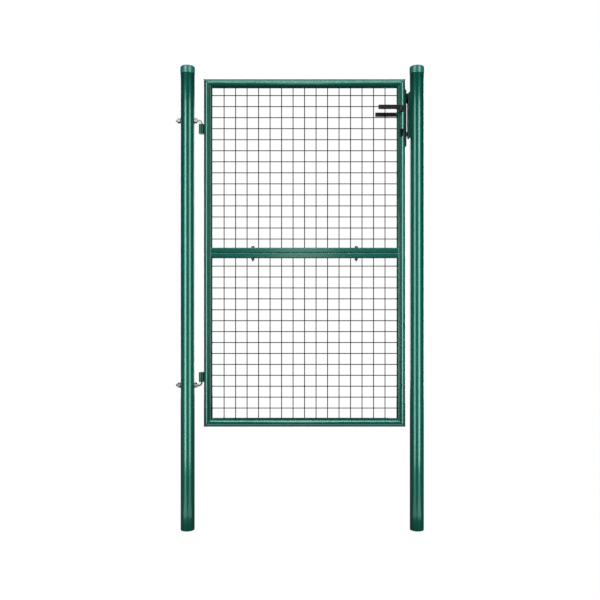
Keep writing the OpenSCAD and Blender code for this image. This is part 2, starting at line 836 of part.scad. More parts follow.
module latch_bolt() {
    nose_x = forend_x + latch_throw;
    bevel_x = forend_x + 0.5;
    half_t = bolt_t / 2;
    tail_z0 = spindle_z + arm_nose_z - arm_nose_r / 2;
    tail_room = arm_nose_r + 0.35;
    color(zinc) difference() {
        union() {
            translate([0, 0, latch_z - latch_h / 2]) linear_extrude(latch_h)
                polygon([[latch_back_x, -half_t], [bevel_x, -half_t], [nose_x, half_t - 3],
                         [nose_x, half_t], [latch_back_x, half_t]]);
            translate([arm_nose_x - tail_room - latch_prong, -latch_tail_t / 2, tail_z0])
                cube([2 * (tail_room + latch_prong), latch_tail_t, latch_z - latch_h / 2 + 1 - tail_z0]);
        }
        translate([arm_nose_x - tail_room, -latch_tail_t, tail_z0 - 1])
            cube([2 * tail_room, 2 * latch_tail_t, 2 * arm_nose_r + 2.5]);
    }
}

module dead_bolt() {
    talon_z0 = cylinder_z + cam_reach + 0.6;
    color(zinc) {
        translate([forend_x - dead_len, -bolt_t / 2, dead_z - dead_h / 2]) cube([dead_len, bolt_t, dead_h]);
        translate([forend_x - dead_len, -talon_t / 2, talon_z0])
            cube([talon_len, talon_t, dead_z - dead_h / 2 + 1 - talon_z0]);
    }
}

// ---- turning parts of the cylinder ----

module cylinder_plugs() {
    color(nickel) difference() {
        for (side = [-1, 1])
            along_y(spindle_x, side > 0 ? cam_gap / 2 : -cylinder_len / 2,
                    side > 0 ? cylinder_len / 2 : -cam_gap / 2, cylinder_z, plug_d);
        for (side = [-1, 1]) translate([spindle_x, side * cylinder_len / 2, cylinder_z - 1])
            cube([2, 40, 8.6], center = true);
    }
}

module cylinder_cam() {
    half = cam_gap / 2 - fit_gap;
    color(steel) {
        along_y(spindle_x, -half, half, cylinder_z, plug_d);
        intersection() {
            along_y(spindle_x, -half, half, cylinder_z, 2 * cam_reach);
            translate([spindle_x - 3.5, -half, cylinder_z - cam_reach]) cube([7, 2 * half, cam_reach]);
        }
    }
}

// ---- springs ----

module latch_spring() {
    x0 = case_x0 + case_wall + fit_gap;
    color(steel) translate([x0, 0, latch_z]) coil_spring(latch_back_x - fit_gap - x0, 6);
}

module lever_spring() {
    x0 = spindle_x - arm_r * sin(arm_lean) + arm_nose_r + spring_seat;
    color(steel) translate([x0, 0, spindle_z - arm_nose_z]) coil_spring(forend_back_x - fit_gap - x0, 6);
}

hinge_post();
latch_post();
hinge_post_cap();
latch_post_cap();
upper_hinge_bolt();
lower_hinge_bolt();
hinge_washers();
hinge_nuts();
keeper();
keeper_pads();
upper_hinge_stile();
upper_latch_stile();
lower_hinge_stile();
lower_latch_stile();
top_rail();
bottom_rail();
upper_mid_rail();
lower_mid_rail();
upper_hinge_sleeve();
lower_hinge_sleeve();
upper_mesh_uprights();
upper_mesh_crosswires();
lower_mesh_uprights();
lower_mesh_crosswires();
joining_bolts();
joining_washers();
joining_nuts();
lock_case();
lock_cover();
forend_plate();
forend_packer();
forend_screws();
front_collar();
rear_collar();
cylinder_body();
cylinder_screw();
latch_spring();
lever_spring();
follower();
spindle();
front_lever();
rear_lever();
lever_screws();
latch_bolt();
dead_bolt();
cylinder_plugs();
cylinder_cam();
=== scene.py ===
"""Garden gate: a green steel mesh leaf on two L-bolts between round posts, with a lever lock.

Metres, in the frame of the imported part: the origin is the centre of the hinge post's foot,
+X runs towards the latch post, +Y is the side the leaf opens to, +Z is up.
"""

import json
import math

import bmesh
import bpy
import numpy as np
from mathutils import Matrix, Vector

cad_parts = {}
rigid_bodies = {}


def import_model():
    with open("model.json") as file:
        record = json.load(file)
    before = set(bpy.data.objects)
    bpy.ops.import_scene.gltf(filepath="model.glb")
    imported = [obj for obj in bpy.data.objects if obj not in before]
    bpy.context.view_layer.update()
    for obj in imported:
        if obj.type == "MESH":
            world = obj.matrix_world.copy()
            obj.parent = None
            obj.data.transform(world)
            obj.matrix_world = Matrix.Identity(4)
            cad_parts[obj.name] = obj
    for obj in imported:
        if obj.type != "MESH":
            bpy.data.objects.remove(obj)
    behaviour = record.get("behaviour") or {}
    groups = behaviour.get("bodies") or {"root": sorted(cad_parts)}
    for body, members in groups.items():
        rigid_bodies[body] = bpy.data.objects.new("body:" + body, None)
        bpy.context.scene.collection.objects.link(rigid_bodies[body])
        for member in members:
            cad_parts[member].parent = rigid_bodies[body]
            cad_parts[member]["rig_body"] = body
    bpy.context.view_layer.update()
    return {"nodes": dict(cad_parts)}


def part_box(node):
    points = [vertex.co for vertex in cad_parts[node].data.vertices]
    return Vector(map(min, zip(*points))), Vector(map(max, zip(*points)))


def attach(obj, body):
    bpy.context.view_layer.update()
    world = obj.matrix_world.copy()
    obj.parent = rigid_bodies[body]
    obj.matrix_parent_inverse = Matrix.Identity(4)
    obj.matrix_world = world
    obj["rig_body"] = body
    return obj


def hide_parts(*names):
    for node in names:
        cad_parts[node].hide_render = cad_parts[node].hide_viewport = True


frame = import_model()

MM = 0.001
TAU = 2 * math.pi


# ---------------------------------------------------------------- sizes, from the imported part

def low(node, axis):
    """Lowest place of a CAD node along an axis."""
    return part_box(node)[0]["xyz".index(axis)]


def high(node, axis):
    """Highest place of a CAD node along an axis."""
    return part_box(node)[1]["xyz".index(axis)]


def middle(node, axis):
    """Middle of a CAD node along an axis."""
    return (low(node, axis) + high(node, axis)) / 2


POST_R = 30 * MM
POST_WALL = 2 * MM
POST_TOP = high("hinge_post", "z")
POSTS_X = {"hinge_post": 0.0, "latch_post": middle("latch_post", "x")}
CAP_R = (high("latch_post_cap", "x") - low("latch_post_cap", "x")) / 2

LEAF_LEFT = low("upper_hinge_stile", "x")
LEAF_RIGHT = high("upper_latch_stile", "x")
LEAF_TOP = high("top_rail", "z")
LEAF_FOOT = low("bottom_rail", "z")
FRAME_R = 19 * MM
FRAME_WALL = 1.5 * MM
HINGE_STILE_X = LEAF_LEFT + FRAME_R
LATCH_STILE_X = LEAF_RIGHT - FRAME_R
HALVES_Z = (low("upper_mid_rail", "z") + high("lower_mid_rail", "z")) / 2
HALVES_GAP = 0.6 * MM
MID_RAIL_DEPTH = 30 * MM
MID_RAIL_R = 3 * MM

WIRE_R = 1.95 * MM
UPRIGHTS = 15
CROSSWIRES = 14

HINGE_X = middle("upper_hinge_sleeve", "x")
HINGE_ROD_R = 6 * MM
HINGE_BEND_R = 13.5 * MM
HINGE_LEG = 40.4 * MM
HINGE_END_X = low("upper_hinge_bolt", "x")
HINGE_RODS_Z = {
    "upper_hinge_bolt": high("upper_hinge_bolt", "z") - HINGE_ROD_R,
    "lower_hinge_bolt": low("lower_hinge_bolt", "z") + HINGE_ROD_R,
}
SPINDLE_Z = middle("spindle", "z")
LEVER_Y = 63 * MM
LEVER_TIP_X = low("front_lever", "x")


# ---------------------------------------------------------------- surfaces

AXES = {
    "x": np.array([(1, 0, 0), (0, 1, 0), (0, 0, 1)], float),
    "y": np.array([(0, 1, 0), (0, 0, 1), (1, 0, 0)], float),
    "z": np.array([(0, 0, 1), (1, 0, 0), (0, 1, 0)], float),
}


def around(sides, start=0.0):
    """Angles of a ring of points, equally spaced over a full turn."""
    return start + TAU * np.arange(sides) / sides


def sheet_of(points, close_rows=False, close_columns=True):
    """Quads over a grid of points. A closed direction joins its last line to its first."""
    rows, columns = points.shape[:2]
    r = np.arange(rows if close_rows else rows - 1)
    c = np.arange(columns if close_columns else columns - 1)
    r, c = (index.ravel() for index in np.meshgrid(r, c, indexing="ij"))
    r_next, c_next = (r + 1) % rows, (c + 1) % columns
    faces = np.stack(
        [r * columns + c, r * columns + c_next, r_next * columns + c_next, r_next * columns + c],
        axis=1,
    )
    return points.reshape(-1, 3), faces


def repeated(shape, places):
    """One small surface set down at each of many places."""
    points, faces = shape
    many = points[None] + np.asarray(places, float)[:, None]
    steps = len(points) * np.arange(len(many))
    return many.reshape(-1, 3), (faces[None] + steps[:, None, None]).reshape(-1, 4)


def rounded(corners, radii, steps=4):
    """Outline whose corners are curves: each starts a radius before its corner and ends a radius after it.

    Point = (1 - t)^2 * start + 2 t (1 - t) * corner + t^2 * end, for t from 0 to 1.
    """
    corners = np.asarray(corners, float)
    radii = np.broadcast_to(np.asarray(radii, float), len(corners))[:, None]
    back = np.roll(corners, 1, axis=0) - corners
    ahead = np.roll(corners, -1, axis=0) - corners
    start = corners + back / np.linalg.norm(back, axis=1, keepdims=True) * radii
    end = corners + ahead / np.linalg.norm(ahead, axis=1, keepdims=True) * radii
    t = np.linspace(0, 1, steps + 1)[None, :, None]
    curves = (1 - t) ** 2 * start[:, None] + 2 * t * (1 - t) * corners[:, None] + t**2 * end[:, None]
    return curves.reshape(-1, corners.shape[1])


def turned(profile, centre, axis, sides=96, closed=True):
    """Profile of (radius, distance) turned about an axis. The radius may also change with the angle.

    Point = centre + distance * axis + radius * (cos a * side + sin a * up).
    A closed profile runs round a bore. An open one starts and ends on the axis.
    """
    radius, distance = (np.asarray(part, float) for part in profile)
    radius = radius.reshape(len(radius), -1)
    distance = distance.reshape(len(distance), -1)
    a = around(sides)
    along, side, up = AXES[axis]
    spoke = np.cos(a)[:, None] * side + np.sin(a)[:, None] * up
    radius, distance = (np.broadcast_to(part, (len(part), sides)) for part in (radius, distance))
    points = np.asarray(centre, float) + distance[..., None] * along + radius[..., None] * spoke
    return sheet_of(points, close_rows=closed)


def walled_run(axis, centre, outer, inner, start, end):
    """Hollow section along an axis, with both ends cut to shape.

    outer and inner are outlines of offsets from the centre line. start and end give the place
    of each cut along the axis from the same offsets. Rows go out along the outer wall and
    back along the inner one, so the piece is closed.
    """
    along, side, up = AXES[axis]

    def line(outline, place):
        return (
            np.asarray(centre, float)
            + outline[:, :1] * side
            + outline[:, 1:] * up
            + place(outline[:, 0], outline[:, 1])[:, None] * along
        )

    rows = np.stack([line(outer, start), line(outer, end), line(inner, end), line(inner, start)])
    return sheet_of(rows, close_rows=True)


def circle(radius, sides=72):
    """Outline of a circle: (r cos a, r sin a)."""
    a = around(sides)
    return radius * np.stack([np.cos(a), np.sin(a)], axis=1)


def carried(path, tangent, reference, section_side, section_up):
    """Closed section carried along a path, square to it.

    side = reference x tangent, up = tangent x side, and point = path + s * side + u * up,
    where s and u are the section's two offsets in each row.
    """
    tangent = tangent / np.linalg.norm(tangent, axis=1, keepdims=True)
    side = np.cross(np.broadcast_to(np.asarray(reference, float), tangent.shape), tangent)
    side /= np.linalg.norm(side, axis=1, keepdims=True)
    up = np.cross(tangent, side)
    return path[:, None] + section_side[..., None] * side[:, None] + section_up[..., None] * up[:, None]


def weld_bead(path, reference, radius, closed, ripple=1.7 * MM, sides=8):
    """Weld bead along a path, running out to nothing at open ends.

    Radius at a place = radius * (1 + 0.12 * cos(turn of the ripple)).
    """
    step = np.roll(path, -1, axis=0) - path if closed else np.gradient(path, axis=0)
    tangent = (step + np.roll(step, 1, axis=0)) if closed else step
    pace = np.linalg.norm(np.diff(path, axis=0), axis=1)
    run = np.concatenate([[0], np.cumsum(pace)])
    turns = np.round(run[-1] / ripple) if closed else run[-1] / ripple
    size = radius * (1 + 0.12 * np.cos(TAU * turns * run / run[-1]))
    if not closed:
        size = size * np.sqrt(np.clip(1 - np.abs(2 * run / run[-1] - 1) ** 12, 0, 1))
    a = around(sides)
    points = carried(path, tangent, reference, size[:, None] * np.cos(a), size[:, None] * np.sin(a))
    return sheet_of(points, close_rows=closed)


def thread_radius(run, angle, radius, pitch, depth):
    """Radius of a screw thread: the full radius less a V that goes down once a pitch and once a turn."""
    phase = (run[:, None] / pitch - angle[None] / TAU) % 1
    crest = np.clip(1.25 * np.abs(2 * phase - 1) - 0.125, 0, 1)
    return radius - depth * (1 - crest)


def end_taper(run, length, chamfer):
    """How much a rod's radius is cut back near both ends, for a chamfer of that width."""
    return np.clip(chamfer - np.minimum(run, length - run), 0, chamfer)


# ---------------------------------------------------------------- materials

class Value:
    """An output of a shader node. Arithmetic on it adds Math nodes."""

    def __init__(self, finish, socket):
        self.finish = finish
        self.socket = socket

    def _math(self, operation, first, second):
        return self.finish.node("ShaderNodeMath", {"operation": operation}, {0: first, 1: second})

    def __add__(self, other):
        return self._math("ADD", self, other)

    def __radd__(self, other):
        return self._math("ADD", other, self)

    def __sub__(self, other):
        return self._math("SUBTRACT", self, other)

    def __rsub__(self, other):
        return self._math("SUBTRACT", other, self)

    def __mul__(self, other):
        return self._math("MULTIPLY", self, other)

    def __rmul__(self, other):
        return self._math("MULTIPLY", other, self)


class Finish:
    """A material and the one way its nodes are made."""

    def __init__(self, name):
        self.material = bpy.data.materials.new(name)
        self.material.use_nodes = True
        self.tree = self.material.node_tree
        self.tree.nodes.clear()
        self.place = self.node("ShaderNodeTexCoord", output="Object")

    def node(self, kind, settings=None, inputs=None, output=0):
        """Adds a node, with its settings and the values or links of its inputs. Returns one output."""
        made = self.tree.nodes.new(kind)
        for name, value in (settings or {}).items():
            setattr(made, name, value)
        for name, value in (inputs or {}).items():
            if isinstance(value, Value):
                self.tree.links.new(value.socket, made.inputs[name])
            else:
                made.inputs[name].default_value = value
        return Value(self, made.outputs[output]) if made.outputs else None

    def noise(self, scale, detail=2.0, stretch=(1, 1, 1), roughness=0.5):
        """Noise from 0 to 1 over the piece, stretched along an axis by a small factor there."""
        place = self.node("ShaderNodeMapping", inputs={"Vector": self.place, "Scale": stretch})
        return self.node(
            "ShaderNodeTexNoise",
            inputs={"Vector": place, "Scale": scale, "Detail": detail, "Roughness": roughness},
            output=0,
        )

    def crystals(self, scale):
        """A value for each grain of a plated sheet: the cell's random colour, taken as a grey."""
        return self.node(
            "ShaderNodeTexVoronoi", {"feature": "F1"}, {"Vector": self.place, "Scale": scale}, output="Color"
        )

    def blend(self, amount, first, second):
        """Colour between two colours."""
        return self.node(
            "ShaderNodeMix", {"data_type": "RGBA"},
            {0: amount, 6: (*first, 1), 7: (*second, 1)}, output=2,
        )

    def bump(self, height, distance, strength=1.0):
        """Surface normal of a height from 0 to 1, where 1 stands that far out."""
        return self.node(
            "ShaderNodeBump", inputs={"Height": height, "Distance": distance, "Strength": strength}, output=0
        )

    def surface(self, **inputs):
        """Ends the material with one Principled surface."""
        named = {name.replace("_", " "): value for name, value in inputs.items()}
        shader = self.node("ShaderNodeBsdfPrincipled", inputs=named)
        self.node("ShaderNodeOutputMaterial", inputs={"Surface": shader})
        return self.material


def powder_coat(name, light, deep, metallic, roughness, coat):
    """Baked powder coat: fine orange peel, a slow drift in colour and a smooth clear skin."""
    f = Finish(name)
    drift = f.noise(7, detail=3)
    peel = f.noise(300, detail=1)
    grit = f.noise(1900, detail=1)
    return f.surface(
        Base_Color=f.blend(drift, deep, light),
        Metallic=metallic,
        Roughness=roughness + 0.10 * (drift - 0.5) + 0.06 * (grit - 0.5),
        Coat_Weight=coat,
        Coat_Roughness=0.16,
        Normal=f.bump(peel * 0.8 + grit * 0.2, 0.018 * MM),
    )


def moulded(name, light, deep, roughness, texture):
    """Moulded plastic: a spark-eroded grain with slightly glossier patches."""
    f = Finish(name)
    drift = f.noise(18, detail=3)
    grain = f.noise(1500, detail=3, roughness=0.6)
    return f.surface(
        Base_Color=f.blend(drift, deep, light),
        Roughness=roughness + 0.14 * (drift - 0.5) + 0.08 * (grain - 0.5),
        Normal=f.bump(grain, texture),
    )


def plated(name, light, deep, roughness, grain, stretch, depth):
    """Plated steel: a clouded grey with drawing or grinding lines along one direction."""
    f = Finish(name)
    cloud = f.noise(45, detail=4, roughness=0.6)
    lines = f.noise(grain, detail=3, stretch=stretch)
    return f.surface(
        Base_Color=f.blend(cloud, deep, light),
        Metallic=1.0,
        Roughness=roughness + 0.16 * (cloud - 0.5) + 0.14 * (lines - 0.5),
        Normal=f.bump(lines, depth),
    )


def spangled(name, light, deep):
    """Zinc-plated sheet, whose grains each take the light a little differently."""
    f = Finish(name)
    grains = f.crystals(160)
    return f.surface(
        Base_Color=f.blend(grains, deep, light),
        Metallic=1.0,
        Roughness=0.34 + 0.14 * (grains - 0.5),
        Normal=f.bump(f.noise(700), 0.02 * MM),
    )


FINISHES = {
    "green_coat": powder_coat(
        "green_powder_coat", light=(0.003, 0.146, 0.106), deep=(0.002, 0.126, 0.090),
        metallic=0.55, roughness=0.30, coat=0.9,
    ),
    "green_plastic": moulded(
        "green_cap_plastic", light=(0.010, 0.118, 0.094), deep=(0.008, 0.098, 0.078),
        roughness=0.26, texture=0.006 * MM,
    ),
    "zinc": plated(
        "bright_zinc", light=(0.80, 0.81, 0.82), deep=(0.60, 0.62, 0.65),
        roughness=0.28, grain=500, stretch=(1, 1, 1), depth=0.01 * MM,
    ),
    "black_coat": powder_coat(
        "black_powder_coat", light=(0.022, 0.023, 0.024), deep=(0.014, 0.015, 0.016),
        metallic=0.0, roughness=0.42, coat=0.3,
    ),
    "black_plastic": moulded(
        "black_polyamide", light=(0.024, 0.024, 0.025), deep=(0.013, 0.013, 0.014),
        roughness=0.40, texture=0.05 * MM,
    ),
    "bolt_steel": plated(
        "ground_bolt_steel", light=(0.62, 0.62, 0.63), deep=(0.45, 0.46, 0.48),
        roughness=0.30, grain=900, stretch=(0.04, 1, 1), depth=0.02 * MM,
    ),
    "case_steel": spangled("plated_case_sheet", light=(0.66, 0.67, 0.69), deep=(0.44, 0.45, 0.47)),
    "spring_steel": plated(
        "drawn_spring_wire", light=(0.42, 0.42, 0.44), deep=(0.24, 0.24, 0.26),
        roughness=0.32, grain=800, stretch=(0.1, 1, 1), depth=0.01 * MM,
    ),
    # Cylinder body and plugs: nickel plating given a near-black colour. This is painted shade, standing in
    # for the dark surroundings that a bright nickel face reflects.
    "nickel": plated(
        "black_nickel", light=(0.040, 0.040, 0.042), deep=(0.022, 0.022, 0.024),
        roughness=0.34, grain=1200, stretch=(1, 0.03, 1), depth=0.01 * MM,
    ),
}

NODE_FINISHES = {
    "zinc": ["cylinder_screw", "forend_screws"],
    "case_steel": ["lock_case", "lock_cover"],
    "bolt_steel": ["follower", "spindle", "lever_screws", "cylinder_cam"],
    "spring_steel": ["latch_spring", "lever_spring"],
}
for finish_name, node_names in NODE_FINISHES.items():
    for node_name in node_names:
        carried_over = frame["nodes"][node_name].data
        carried_over.materials.clear()
        carried_over.materials.append(FINISHES[finish_name])


# ---------------------------------------------------------------- making a piece

def smooth(mesh, sharp_angle):
    """Smooth shading, but for the edges sharper than an angle."""
    mesh.polygons.foreach_set("use_smooth", np.ones(len(mesh.polygons), bool))
    mesh.set_sharp_from_angle(angle=math.radians(sharp_angle))


def settle(piece, body, finish_name, stands_for):
    """Gives a piece its finish and body, and hides the CAD nodes it stands for."""
    piece.data.materials.clear()
    piece.data.materials.append(FINISHES[finish_name])
    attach(piece, body)
    if stands_for:
        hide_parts(*stands_for)
    return piece


def make_piece(name, surfaces, body, finish_name, stands_for=(), sharp_angle=32):
    """One object from one or more closed surfaces, with poles merged and faces turned outwards."""
    counts = np.cumsum([0] + [len(points) for points, _ in surfaces])
    points = np.concatenate([points for points, _ in surfaces])
    faces = np.concatenate([faces + first for (_, faces), first in zip(surfaces, counts)])
    mesh = bpy.data.meshes.new(name)
    mesh.vertices.add(len(points))
    mesh.vertices.foreach_set("co", points.astype(np.float32).ravel())
    mesh.loops.add(faces.size)
    mesh.loops.foreach_set("vertex_index", faces.astype(np.int32).ravel())
    mesh.polygons.add(len(faces))
    mesh.polygons.foreach_set("loop_start", np.arange(0, faces.size, 4, dtype=np.int32))
    mesh.update(calc_edges=True)
    work = bmesh.new()
    work.from_mesh(mesh)
    bmesh.ops.remove_doubles(work, verts=work.verts, dist=2e-7)
    bmesh.ops.recalc_face_normals(work, faces=work.faces)
    work.to_mesh(mesh)
    work.free()
    smooth(mesh, sharp_angle)
    piece = bpy.data.objects.new(name, mesh)
    bpy.context.scene.collection.objects.link(piece)
    return settle(piece, body, finish_name, stands_for)


def eased_copy(name, node, body, finish_name, edge):
    """A pressed, cast or milled part: a merged copy of its CAD node with eased edges."""
    mesh = frame["nodes"][node].data.copy()
    mesh.name = name
    work = bmesh.new()
    work.from_mesh(mesh)
    bmesh.ops.remove_doubles(work, verts=work.verts, dist=1e-6)
    bmesh.ops.dissolve_limit(work, angle_limit=math.radians(0.5), verts=work.verts, edges=work.edges)
    work.to_mesh(mesh)
    work.free()
    smooth(mesh, 32)
    piece = bpy.data.objects.new(name, mesh)
    bpy.context.scene.collection.objects.link(piece)
    bevel = piece.modifiers.new("eased_edges", "BEVEL")
    bevel.width = edge
    bevel.segments = 2
    bevel.limit_method = "ANGLE"
    bevel.angle_limit = math.radians(32)
    return settle(piece, body, finish_name, (node,))


# ---------------------------------------------------------------- posts and caps

def post_surface(x):
    """Post tube: a ring profile of wall, eased at both ends, turned about the post's axis."""
    inner = POST_R - POST_WALL
    corners = [(POST_R, 0), (POST_R, POST_TOP), (inner, POST_TOP), (inner, 0)]
    return turned(rounded(corners, 0.4 * MM, steps=3).T, (x, 0, 0), "z", sides=160)


def cap_surface(x, node):
    """Moulded cap: skirt, a shallow step under the top, a round shoulder and a slightly crowned top."""
    foot, top = low(node, "z"), high(node, "z")
    bore = POST_R + 0.1 * MM
    corners = np.array([
        (0, top), (CAP_R - 6 * MM, top - 0.15 * MM), (CAP_R - 0.5 * MM, top - 3.2 * MM),
        (CAP_R - 0.35 * MM, top - 10.5 * MM), (CAP_R, top - 11.3 * MM), (CAP_R, foot + 0.2 * MM),
        (bore, foot), (bore, POST_TOP + 0.1 * MM), (0, POST_TOP + 0.1 * MM),
    ])
    radii = np.array([0, 2.6, 3.2, 0.35, 0.35, 0.5, 0.2, 1.0, 0]) * MM
    return turned(rounded(corners, radii, steps=6).T, (x, 0, 0), "z", sides=128, closed=False)


for post_name, post_x in POSTS_X.items():
    make_piece(f"{post_name}_tube", [post_surface(post_x)], "posts", "green_coat", (post_name,))
    cap_name = f"{post_name}_cap"
    make_piece(f"{cap_name}_moulding", [cap_surface(post_x, cap_name)], "posts", "green_plastic", (cap_name,))


# ---------------------------------------------------------------- frame of the leaf

TUBE_OUTER = circle(FRAME_R)
TUBE_INNER = circle(FRAME_R - FRAME_WALL)


def stile_surface(x, z_start, z_end, corner):
    """Stile: round tube whose outer end is mitred, so it is cut back by the distance from the leaf's side.

    Place of the cut = leaf's end -/+ distance of the point from the leaf's side.
    """
    toward = 1 if x < (LEAF_LEFT + LEAF_RIGHT) / 2 else -1

    def mitre(side, up):
        return z_end + corner * (FRAME_R + toward * side)

    def square(side, up):
        return np.full_like(side, z_start)

    return walled_run("z", (x, 0, 0), TUBE_OUTER, TUBE_INNER, square, mitre)


def rail_surface(z, inward):
    """Top or bottom rail: round tube mitred at both ends, longest at the leaf's edge.

    Place of the cut = leaf's side +/- distance of the point from the leaf's top or bottom.
    """
    def left(side, up):
        return LEAF_LEFT + FRAME_R + inward * up

    def right(side, up):
        return LEAF_RIGHT - FRAME_R - inward * up

    return walled_run("x", (0, 0, z), TUBE_OUTER, TUBE_INNER, left, right)


def mitre_bead(x_side, z_end, toward_x, toward_z):
    """Weld round a mitred corner: the ellipse where the two tubes meet, (r + r cos a) in from both edges."""
    a = around(360)
    radius = FRAME_R - 0.5 * MM
    inset = FRAME_R + radius * np.cos(a)
    path = np.stack([x_side + toward_x * inset, radius * np.sin(a), z_end + toward_z * inset], axis=1)
    return weld_bead(path, (toward_x, 0, -toward_z), 1.5 * MM, closed=True)


# The upper latch stile has the lock's holes, so it is an eased copy, made with the lock.
for stile_name, x, z_end, corner in (
    ("upper_hinge_stile", HINGE_STILE_X, LEAF_TOP, -1),
    ("lower_hinge_stile", HINGE_STILE_X, LEAF_FOOT, 1),
    ("lower_latch_stile", LATCH_STILE_X, LEAF_FOOT, 1),
):
    z_start = HALVES_Z - corner * HALVES_GAP / 2
    tube = stile_surface(x, z_start, z_end, corner)
    make_piece(f"{stile_name}_tube", [tube], "leaf", "green_coat", (stile_name,))

make_piece("top_rail_tube", [rail_surface(LEAF_TOP - FRAME_R, -1)], "leaf", "green_coat", ("top_rail",))
make_piece("bottom_rail_tube", [rail_surface(LEAF_FOOT + FRAME_R, 1)], "leaf", "green_coat", ("bottom_rail",))
make_piece(
    "corner_welds",
    [
        mitre_bead(x_side, z_end, toward_x, toward_z)
        for x_side, toward_x in ((LEAF_LEFT, 1), (LEAF_RIGHT, -1))
        for z_end, toward_z in ((LEAF_TOP, -1), (LEAF_FOOT, 1))
    ],
    "leaf", "green_coat",
)


# ---------------------------------------------------------------- mid rails

def rail_outline(depth, height, radius):
    """Rectangle with round corners, as offsets front to back and up."""
    half_d, half_h = depth / 2, height / 2
    corners = [(-half_d, -half_h), (half_d, -half_h), (half_d, half_h), (-half_d, half_h)]
    return rounded(corners, radius, steps=6)


def cope(side):
    """How far a stile's surface stands out from its axis, sqrt(r^2 - y^2), at a distance y from it."""
    return np.sqrt((FRAME_R + 0.1 * MM) ** 2 - side**2)


def mid_rail_surface(node):
    """Rectangular tube between the stiles, with both ends coped round them."""
    z, height = middle(node, "z"), high(node, "z") - low(node, "z")
    outer = rail_outline(MID_RAIL_DEPTH, height, MID_RAIL_R)
    inner = rail_outline(MID_RAIL_DEPTH - 2 * FRAME_WALL, height - 2 * FRAME_WALL, MID_RAIL_R - FRAME_WALL)
    return walled_run(
        "x", (0, 0, z), outer, inner,
        lambda side, up: HINGE_STILE_X + cope(side), lambda side, up: LATCH_STILE_X - cope(side),
    )


def cope_bead(node, stile_x, toward):
    """Weld round a coped end: the rail's outline pressed onto the stile's surface."""
    height = high(node, "z") - low(node, "z")
    corners = rail_outline(MID_RAIL_DEPTH - 0.6 * MM, height - 0.6 * MM, MID_RAIL_R)
    closed = np.concatenate([corners, corners[:1]])
    run = np.concatenate([[0], np.cumsum(np.linalg.norm(np.diff(closed, axis=0), axis=1))])
    at = np.linspace(0, run[-1], 240, endpoint=False)
    side, up = (np.interp(at, run, closed[:, i]) for i in (0, 1))
    path = np.stack([stile_x + toward * cope(side), side, middle(node, "z") + up], axis=1)
    return weld_bead(path, (1, 0, 0), 1.3 * MM, closed=True)


for rail_name in ("upper_mid_rail", "lower_mid_rail"):
    make_piece(f"{rail_name}_tube", [mid_rail_surface(rail_name)], "leaf", "green_coat", (rail_name,))
make_piece(
    "mid_rail_welds",
    [
        cope_bead(rail_name, stile_x, toward)
        for rail_name in ("upper_mid_rail", "lower_mid_rail")
        for stile_x, toward in ((HINGE_STILE_X, 1), (LATCH_STILE_X, -1))
    ],
    "leaf", "green_coat",
)


# ---------------------------------------------------------------- welded mesh

def wire_surface(axis, length):
    """Wire along an axis, flared at both ends where its weld runs out onto the tube.

    Radius = wire radius + 1.1 mm * (1 - distance from the end / 2.2 mm)^2, near each end.
    """
    near = np.array([0, 0, 0.5, 1.1, 2.2]) * MM
    distance = np.concatenate([near, length - near[::-1]])
    flare = 1.1 * MM * (1 - near / (2.2 * MM)) ** 2
    radius = WIRE_R + np.concatenate([flare, flare[::-1]])
    radius[[0, -1]] = 0
    return turned((radius, distance), (0, 0, 0), axis, sides=12, closed=False)


def crossing_weld():
    """Flattened bead of metal squeezed out where two wires are welded: an ellipsoid of 8 by 4 faces."""
    t = np.linspace(0, math.pi, 5)
    return turned((2.5 * MM * np.sin(t), -1.5 * MM * np.cos(t)), (0, 0, 0), "y", sides=8, closed=False)


SEAT = 0.6 * MM
for half in ("upper", "lower"):
    uprights, crosswires = f"{half}_mesh_uprights", f"{half}_mesh_crosswires"
    up_y, cross_y = middle(uprights, "y"), middle(crosswires, "y")
    xs = np.linspace(low(uprights, "x") + WIRE_R, high(uprights, "x") - WIRE_R, UPRIGHTS)
    zs = np.linspace(low(crosswires, "z") + WIRE_R, high(crosswires, "z") - WIRE_R, CROSSWIRES)
    z_start, z_end = low(uprights, "z") - SEAT, high(uprights, "z") + SEAT
    x_start, x_end = low(crosswires, "x") - SEAT, high(crosswires, "x") + SEAT
    make_piece(
        f"{half}_upright_wires",
        [repeated(wire_surface("z", z_end - z_start), [(x, up_y, z_start) for x in xs])],
        "leaf", "green_coat", (uprights,),
    )
    make_piece(
        f"{half}_cross_wires",
        [
            repeated(wire_surface("x", x_end - x_start), [(x_start, cross_y, z) for z in zs]),
            repeated(crossing_weld(), [(x, (up_y + cross_y) / 2, z) for x in xs for z in zs]),
        ],
        "leaf", "green_coat", (crosswires,),
    )


# ---------------------------------------------------------------- hinges

